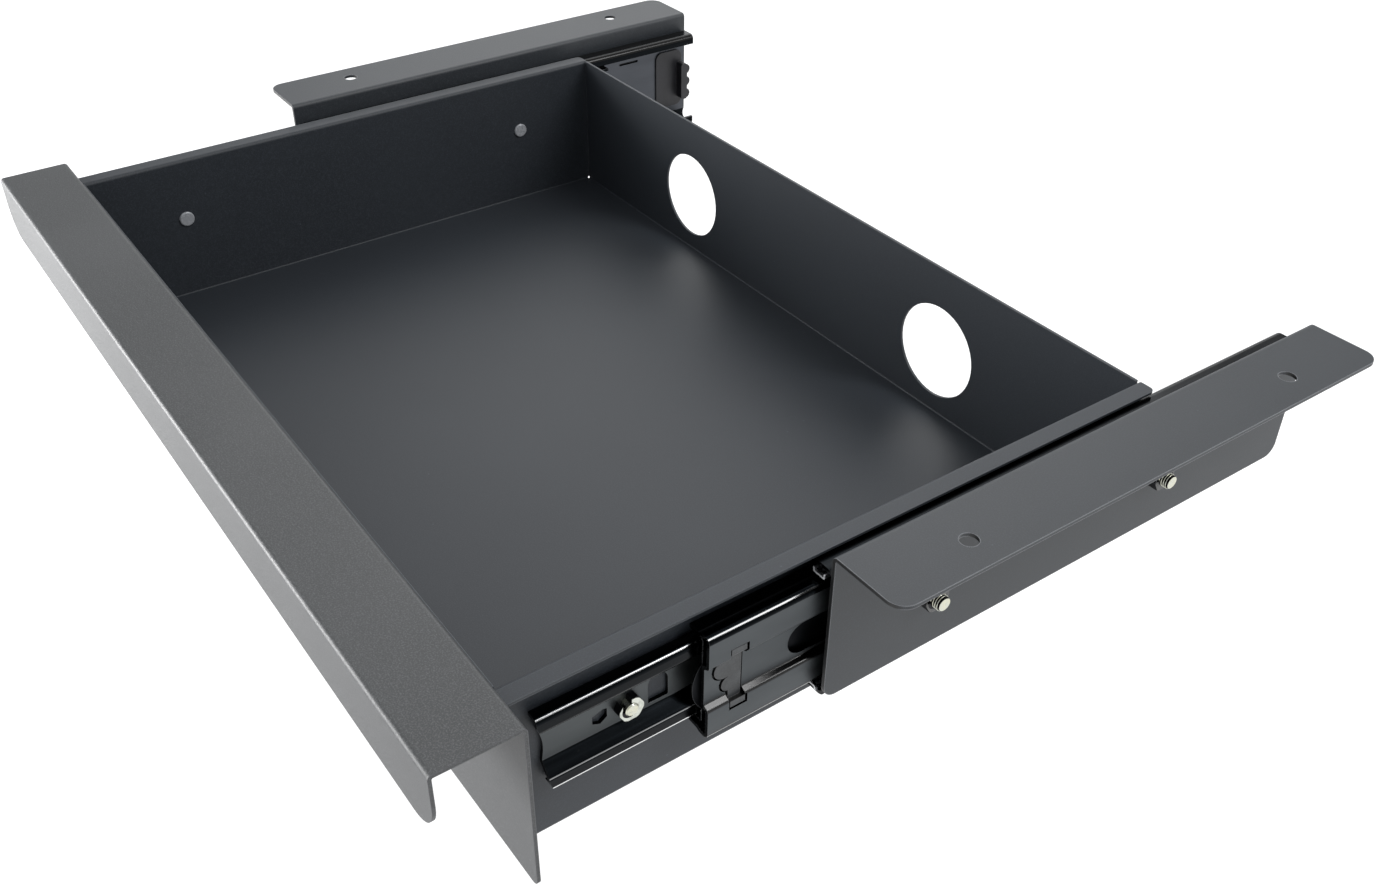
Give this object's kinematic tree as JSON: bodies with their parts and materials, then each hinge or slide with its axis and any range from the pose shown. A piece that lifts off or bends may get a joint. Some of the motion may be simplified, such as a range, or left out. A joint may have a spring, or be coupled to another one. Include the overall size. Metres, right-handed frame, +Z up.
{
  "type": "under desk drawer",
  "caption": "Shallow folded sheet metal drawer with a full width front handle, hung under a desk from two angle brackets on telescopic ball bearing slides.",
  "frame": {"origin": "centre of the four desk screw holes, in the plane of the brackets' top faces that meet the desk's underside", "axes": "+X to the right across the desk, +Y from the user towards the back, +Z up; the drawer opens along -Y"},
  "size_m": [0.3994, 0.3165, 0.0639],
  "materials": {
    "ball_steel": "polished steel",
    "bolt_nut_steel": "grey end faces on blackened sides",
    "bracket_powder_coat": "fine textured black powder coat",
    "bumper_plastic": "moulded black plastic",
    "cage_zinc": "bright zinc plate",
    "drawer_rail_coat": "gloss black electro-coat",
    "fastener_zinc": "zinc plate",
    "handle_powder_coat": "fine textured black powder coat",
    "inner_cage_steel": "dark oiled steel",
    "latch_plastic": "moulded black plastic",
    "middle_rail_coat": "gloss black electro-coat",
    "outer_rail_coat": "gloss black electro-coat",
    "pan_powder_coat": "fine textured black powder coat",
    "stud_nut_zinc": "zinc plated end faces on blackened sides"
  },
  "bodies": {
    "frame": {"left_bracket": "bracket_powder_coat", "left_outer_rail": "outer_rail_coat", "left_bracket_bolts": "fastener_zinc", "left_bracket_nuts": "bolt_nut_steel", "left_rear_bumper": "bumper_plastic", "right_bracket": "bracket_powder_coat", "right_outer_rail": "outer_rail_coat", "right_bracket_bolts": "fastener_zinc", "right_bracket_nuts": "bolt_nut_steel", "right_rear_bumper": "bumper_plastic"},
    "drawer": {"drawer_pan": "pan_powder_coat", "front_handle": "handle_powder_coat", "left_drawer_rail": "drawer_rail_coat", "left_drawer_studs": "fastener_zinc", "left_drawer_nuts": "stud_nut_zinc", "right_drawer_rail": "drawer_rail_coat", "right_drawer_studs": "fastener_zinc", "right_drawer_nuts": "stud_nut_zinc"},
    "left_middle_set": {"left_middle_rail": "middle_rail_coat", "left_middle_latch": "latch_plastic"},
    "left_outer_cage_set": {"left_outer_cage": "cage_zinc", "left_outer_balls": "ball_steel"},
    "left_inner_cage_set": {"left_inner_cage": "inner_cage_steel", "left_inner_balls": "ball_steel"},
    "right_middle_set": {"right_middle_rail": "middle_rail_coat", "right_middle_latch": "latch_plastic"},
    "right_outer_cage_set": {"right_outer_cage": "cage_zinc", "right_outer_balls": "ball_steel"},
    "right_inner_cage_set": {"right_inner_cage": "inner_cage_steel", "right_inner_balls": "ball_steel"}
  },
  "joints": [
    {"name": "drawer_slide", "type": "slide", "parent": "frame", "child": "drawer", "axis": [0, -1, 0], "range_m": [-0.0825, 0.1175]},
    {"name": "left_middle_slide", "type": "slide", "parent": "frame", "child": "left_middle_set", "axis": [0, -1, 0], "range_m": [-0.04125, 0.05875]},
    {"name": "left_outer_cage_slide", "type": "slide", "parent": "frame", "child": "left_outer_cage_set", "axis": [0, -1, 0], "range_m": [-0.02063, 0.02937]},
    {"name": "left_inner_cage_slide", "type": "slide", "parent": "frame", "child": "left_inner_cage_set", "axis": [0, -1, 0], "range_m": [-0.06187, 0.08812]},
    {"name": "right_middle_slide", "type": "slide", "parent": "frame", "child": "right_middle_set", "axis": [0, -1, 0], "range_m": [-0.04125, 0.05875]},
    {"name": "right_outer_cage_slide", "type": "slide", "parent": "frame", "child": "right_outer_cage_set", "axis": [0, -1, 0], "range_m": [-0.02063, 0.02937]},
    {"name": "right_inner_cage_slide", "type": "slide", "parent": "frame", "child": "right_inner_cage_set", "axis": [0, -1, 0], "range_m": [-0.06187, 0.08812]}
  ],
  "couplings": [
    {"joint": "left_middle_slide", "follows": "drawer_slide", "ratio": 0.5},
    {"joint": "left_outer_cage_slide", "follows": "drawer_slide", "ratio": 0.25},
    {"joint": "left_inner_cage_slide", "follows": "drawer_slide", "ratio": 0.75},
    {"joint": "right_middle_slide", "follows": "drawer_slide", "ratio": 0.5},
    {"joint": "right_outer_cage_slide", "follows": "drawer_slide", "ratio": 0.25},
    {"joint": "right_inner_cage_slide", "follows": "drawer_slide", "ratio": 0.75}
  ]
}
